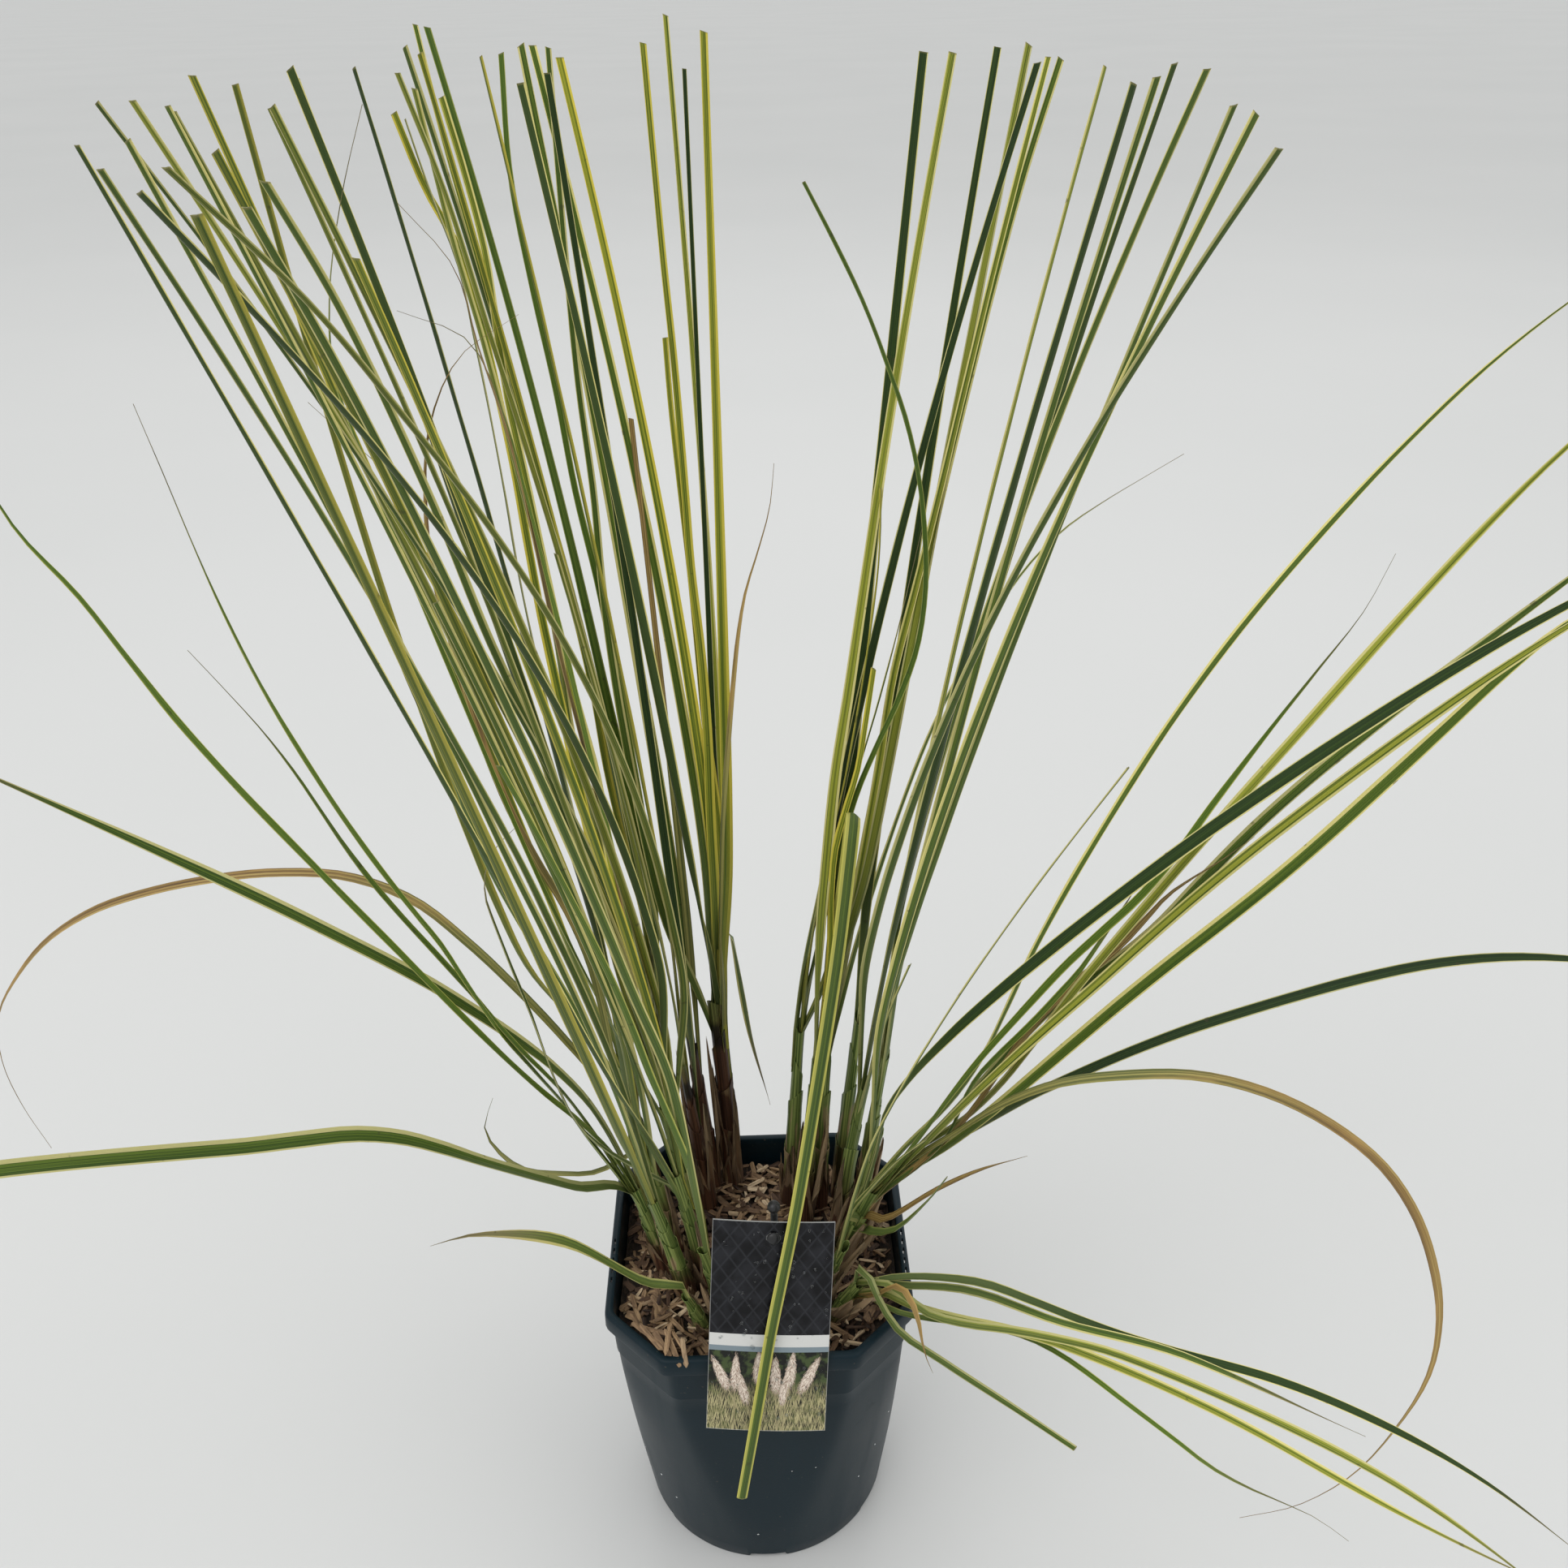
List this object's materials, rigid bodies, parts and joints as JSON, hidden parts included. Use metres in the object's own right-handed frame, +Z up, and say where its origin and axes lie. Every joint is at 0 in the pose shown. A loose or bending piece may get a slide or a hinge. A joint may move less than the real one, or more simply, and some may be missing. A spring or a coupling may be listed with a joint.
{
  "type": "potted ornamental grass clump",
  "caption": "Clump of striped ornamental grass, blades trimmed level, in a square-rimmed nursery pot with wood chip mulch and a care card on a stake.",
  "frame": {"origin": "the middle of the pot's base, on the surface that it stands on", "axes": "+Z up through the pot, -Y towards the care card at the front, +X to the right as seen from the front"},
  "size_m": [0.9146, 0.3977, 0.81],
  "materials": {
    "pot_plastic": "satin",
    "potting_mix": "matte",
    "wood_chips": "matte",
    "printed_card": "satin",
    "stake_plastic": "satin",
    "sheath": "matte",
    "leaf": "satin"
  },
  "bodies": {
    "root": {"blade_a1": "leaf", "blade_a2": "leaf", "blade_a3": "leaf", "blade_b1": "leaf", "blade_b2": "leaf", "blade_b3": "leaf", "blade_c1": "leaf", "blade_c2": "leaf", "blade_d1": "leaf", "blade_d2": "leaf", "blade_d3": "leaf", "blade_e1": "leaf", "blade_e2": "leaf", "blade_e3": "leaf", "blade_e4": "leaf", "blade_e5": "leaf", "blade_f1": "leaf", "blade_f2": "leaf", "blade_g1": "leaf", "blade_g2": "leaf", "blade_g3": "leaf", "blade_h1": "leaf", "blade_h2": "leaf", "blade_i1": "leaf", "blade_i2": "leaf", "blade_i3": "leaf", "blade_j1": "leaf", "blade_k1": "leaf", "blade_k2": "leaf", "blade_k3": "leaf", "blade_k4": "leaf", "blade_k5": "leaf", "blade_l1": "leaf", "blade_l2": "leaf", "blade_l3": "leaf", "blade_m1": "leaf", "blade_n1": "leaf", "blade_n2": "leaf", "blade_n3": "leaf", "blade_n4": "leaf", "card_stake": "stake_plastic", "care_card": "printed_card", "pot": "pot_plastic", "potting_mix": "potting_mix", "shoot_a": "sheath", "shoot_b": "sheath", "shoot_c": "sheath", "shoot_d": "sheath", "shoot_e": "sheath", "shoot_f": "sheath", "shoot_g": "sheath", "shoot_h": "sheath", "shoot_i": "sheath", "shoot_j": "sheath", "shoot_k": "sheath", "shoot_l": "sheath", "shoot_m": "sheath", "shoot_n": "sheath", "wood_chip_mulch": "wood_chips"}
  },
  "joints": []
}
